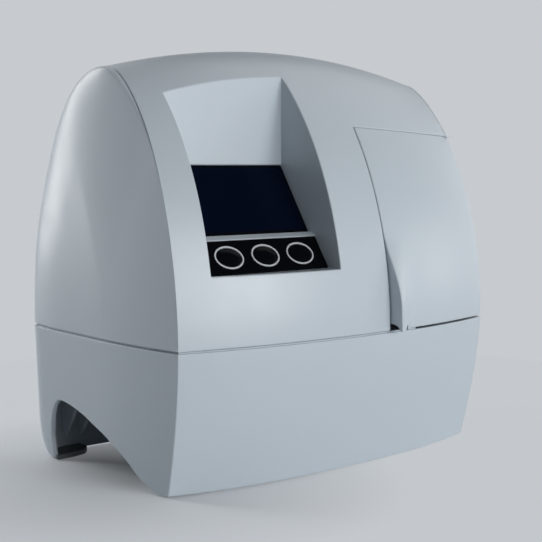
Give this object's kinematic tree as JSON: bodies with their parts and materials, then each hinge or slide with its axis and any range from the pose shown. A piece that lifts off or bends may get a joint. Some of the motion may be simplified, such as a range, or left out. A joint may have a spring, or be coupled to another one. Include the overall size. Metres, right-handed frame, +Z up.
{
  "type": "glycated hemoglobin analyzer",
  "caption": "Benchtop analyzer with an arched moulded housing, a recessed display with keys under it, and a hinged cartridge door at the right.",
  "frame": {"origin": "on the table, under the middle of the overall box, the door's finger lip included", "axes": "+X to the right seen from the front, +Y to the back, +Z up"},
  "size_m": [0.205, 0.1444, 0.2],
  "materials": {
    "housing_plastic": "satin, fine-grained moulded surface",
    "black_gloss": "polished",
    "dark_plastic": "matt moulded",
    "chassis_plastic": "matt moulded",
    "steel": "machined or plated",
    "aluminium": "satin",
    "circuit_board": "solder resist",
    "ring_print": "satin",
    "rubber": "matt",
    "acetal": "waxy moulded",
    "lens_glass": "polished",
    "ribbon_grey": "satin"
  },
  "bodies": {
    "housing": {"base_pan": "chassis_plastic", "base_shell": "housing_plastic", "button_ring_left": "ring_print", "button_ring_middle": "ring_print", "button_ring_right": "ring_print", "cartridge_bay": "chassis_plastic", "case_screw_left": "steel", "case_screw_right": "steel", "display_module": "dark_plastic", "display_window": "black_gloss", "door_magnet": "steel", "drive_motor": "aluminium", "driver_chip": "dark_plastic", "front_cover": "housing_plastic", "heater_plate": "aluminium", "hinge_bracket": "steel", "hinge_pin_lower": "steel", "hinge_pin_upper": "steel", "key_board": "circuit_board", "key_panel": "black_gloss", "key_switch_left": "dark_plastic", "key_switch_middle": "dark_plastic", "key_switch_right": "dark_plastic", "left_side_cover": "housing_plastic", "main_board": "circuit_board", "memory_chip": "dark_plastic", "optical_head": "dark_plastic", "optical_lens": "lens_glass", "power_jack": "dark_plastic", "processor_chip": "dark_plastic", "rating_plate": "aluminium", "rear_cover": "housing_plastic", "ribbon_cable": "ribbon_grey", "right_side_cover": "housing_plastic", "rubber_foot_front_left": "rubber", "rubber_foot_front_right": "rubber", "rubber_foot_rear_left": "rubber", "rubber_foot_rear_right": "rubber", "scanner_port": "dark_plastic", "serial_port": "steel", "shaft_bearing_front": "steel", "shaft_bearing_rear": "steel"},
    "door": {"door": "housing_plastic", "door_strike": "steel"},
    "button_left": {"button_left": "black_gloss"},
    "button_middle": {"button_middle": "black_gloss"},
    "button_right": {"button_right": "black_gloss"},
    "rotor": {"cartridge_rotor": "dark_plastic", "rotor_shaft": "steel", "drive_gear": "acetal"},
    "pinion": {"motor_pinion": "steel", "motor_shaft": "steel"}
  },
  "joints": [
    {"name": "door_hinge", "type": "hinge", "parent": "housing", "child": "door", "pos_m": [0.0953, -0.01596, 0.0658], "axis": [0, 0, 1], "range_deg": [0, 90]},
    {"name": "button_left_press", "type": "slide", "parent": "housing", "child": "button_left", "axis": [0, 0.8259, -0.5639], "range_m": [0, 0.0006], "stiffness_N_per_m": 600, "springref_m": -0.0005},
    {"name": "button_middle_press", "type": "slide", "parent": "housing", "child": "button_middle", "axis": [0, 0.8259, -0.5639], "range_m": [0, 0.0006], "stiffness_N_per_m": 600, "springref_m": -0.0005},
    {"name": "button_right_press", "type": "slide", "parent": "housing", "child": "button_right", "axis": [0, 0.8259, -0.5639], "range_m": [0, 0.0006], "stiffness_N_per_m": 600, "springref_m": -0.0005},
    {"name": "rotor_spin", "type": "hinge", "parent": "housing", "child": "rotor", "pos_m": [0.0485, 0.00203, 0.106], "axis": [0, 1, 0], "continuous": true},
    {"name": "pinion_spin", "type": "hinge", "parent": "housing", "child": "pinion", "pos_m": [0.0485, 0.01483, 0.13], "axis": [0, 1, 0], "continuous": true}
  ],
  "couplings": [
    {"joint": "pinion_spin", "follows": "rotor_spin", "ratio": -4}
  ]
}
